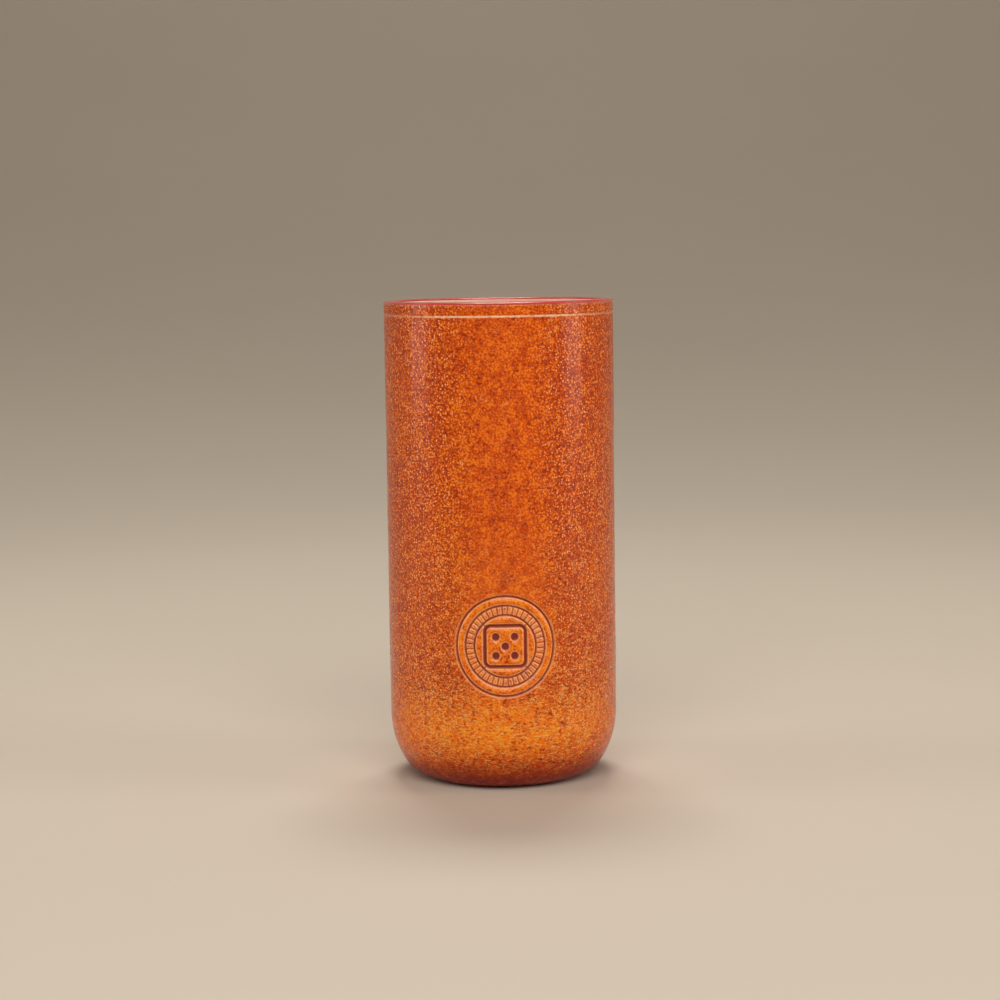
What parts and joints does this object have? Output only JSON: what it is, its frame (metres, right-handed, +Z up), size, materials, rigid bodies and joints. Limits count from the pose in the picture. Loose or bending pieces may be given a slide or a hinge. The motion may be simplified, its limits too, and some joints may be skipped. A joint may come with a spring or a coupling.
{
  "type": "leather dice cup",
  "caption": "Tall round leather cup with a rounded foot, domed painted rim, crease line and blind-stamped emblem, lined for shaking and throwing dice.",
  "frame": {"origin": "centre of the underside, on the surface that the cup stands on", "axes": "+Z up along the cup's axis, out of its mouth; the stamped emblem faces -Y; the skived joint of the outer leather is at +Y"},
  "size_m": [0.0522, 0.0522, 0.1085],
  "materials": {
    "outer_leather": "glazed antiqued tan with dark red-brown mottling, fine pebbled grain",
    "sole_leather": "satin dyed vegetable-tanned leather",
    "core_board": "pressed leatherboard, matt",
    "lining_leather": "natural undyed leather, matt",
    "edge_paint": "glossy crimson edge paint"
  },
  "bodies": {
    "root": {"outer_shell": "outer_leather", "sole_disc": "sole_leather", "core_sleeve": "core_board", "core_base": "core_board", "lining_sleeve": "lining_leather", "lining_floor": "lining_leather", "edge_paint": "edge_paint"}
  },
  "joints": []
}
